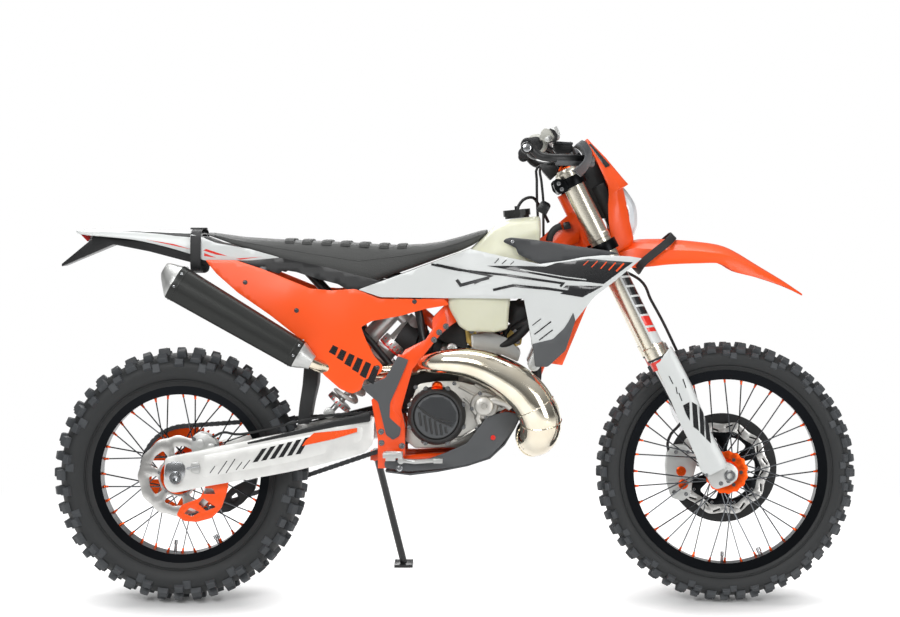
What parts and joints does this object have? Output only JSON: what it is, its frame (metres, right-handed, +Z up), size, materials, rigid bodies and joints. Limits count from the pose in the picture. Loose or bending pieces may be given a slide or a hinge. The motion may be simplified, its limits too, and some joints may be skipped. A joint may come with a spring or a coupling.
{
  "type": "enduro dirt bike",
  "caption": "Off-road motorcycle with knobby spoked wheels, long fork, single-cylinder two-stroke engine and raised exhaust, leaning on its side stand.",
  "frame": {"origin": "middle of the footprint box, on the floor that the parked machine leans on", "axes": "+X forward along the machine, +Y to its left, where it leans, +Z up"},
  "size_m": [2.173, 0.8614, 1.3401],
  "materials": {
    "tyre_rubber": "matte knobby rubber",
    "black_rim": "black anodised",
    "orange_metal": "satin orange",
    "spoke_steel": "bright",
    "disc_steel": "brushed",
    "dark_steel": "dark",
    "cast_silver": "fine cast",
    "spring_white": "gloss white",
    "cast_grey": "cast, bead blasted",
    "case_dark": "satin dark grey",
    "pipe_nickel": "polished, warm",
    "black_metal": "satin black",
    "seat_cover": "gripper vinyl",
    "orange_plastic": "gloss",
    "grey_plastic": "gloss",
    "tank_plastic": "milky, satin",
    "white_plastic": "gloss",
    "fork_gold": "champagne anodised",
    "black_plastic": "fine grained",
    "red_lens": "clear red",
    "rubber": "soft matte",
    "lamp_glass": "clear"
  },
  "bodies": {
    "frame": {"rear_axle": "dark_steel", "chain": "dark_steel", "front_sprocket": "dark_steel", "swingarm": "cast_silver", "subframe": "cast_silver", "main_frame": "orange_metal", "shock": "cast_silver", "shock_spring": "spring_white", "crankcase": "cast_grey", "cylinder": "cast_grey", "cylinder_head": "cast_grey", "water_pump": "cast_grey", "clutch_cover": "case_dark", "ignition_cover": "case_dark", "exhaust_chamber": "pipe_nickel", "silencer": "black_metal", "seat": "seat_cover", "right_panel": "orange_plastic", "left_panel": "orange_plastic", "right_shroud": "grey_plastic", "left_shroud": "grey_plastic", "fuel_tank": "tank_plastic", "rear_fender": "white_plastic", "skid_plate": "case_dark", "plate_holder": "black_plastic", "mud_flap": "black_plastic", "shroud_fins": "black_plastic", "fuel_cap": "black_plastic", "tail_light": "red_lens", "radiators": "cast_silver", "rear_caliper": "cast_silver", "radiator_guards": "orange_plastic", "foot_controls": "cast_grey"},
    "steering": {"front_axle": "dark_steel", "fork_tubes": "fork_gold", "fork_legs": "cast_silver", "triple_clamps": "black_metal", "handlebar": "black_metal", "front_fender": "orange_plastic", "headlight_mask": "orange_plastic", "grips": "rubber", "handguards": "black_plastic", "front_disc_guard": "black_plastic", "levers": "cast_silver", "front_caliper": "cast_silver", "headlight_lens": "lamp_glass", "fork_guards": "white_plastic"},
    "front_wheel": {"front_tyre": "tyre_rubber", "front_rim": "black_rim", "front_hub": "orange_metal", "front_spokes": "spoke_steel", "front_disc": "disc_steel"},
    "rear_wheel": {"rear_tyre": "tyre_rubber", "rear_rim": "black_rim", "rear_hub": "orange_metal", "rear_sprocket": "orange_metal", "rear_spokes": "spoke_steel", "rear_disc": "disc_steel"},
    "side_stand": {"side_stand": "cast_silver"}
  },
  "joints": [
    {"name": "steering", "type": "hinge", "parent": "frame", "child": "steering", "pos_m": [0.338, -0.03098, 1.02617], "axis": [-0.4399, 0.1559, 0.8844], "range_deg": [-40, 40]},
    {"name": "front_wheel_spin", "type": "hinge", "parent": "steering", "child": "front_wheel", "pos_m": [0.7358, -0.15048, 0.34849], "axis": [0, 0.9848, -0.1736], "continuous": true},
    {"name": "rear_wheel_spin", "type": "hinge", "parent": "frame", "child": "rear_wheel", "pos_m": [-0.7443, -0.15171, 0.34148], "axis": [0, 0.9848, -0.1736], "continuous": true},
    {"name": "side_stand_fold", "type": "hinge", "parent": "frame", "child": "side_stand", "pos_m": [-0.2223, -0.00146, 0.35281], "axis": [0.145, 0.9514, 0.2717], "range_deg": [0, 100]}
  ]
}
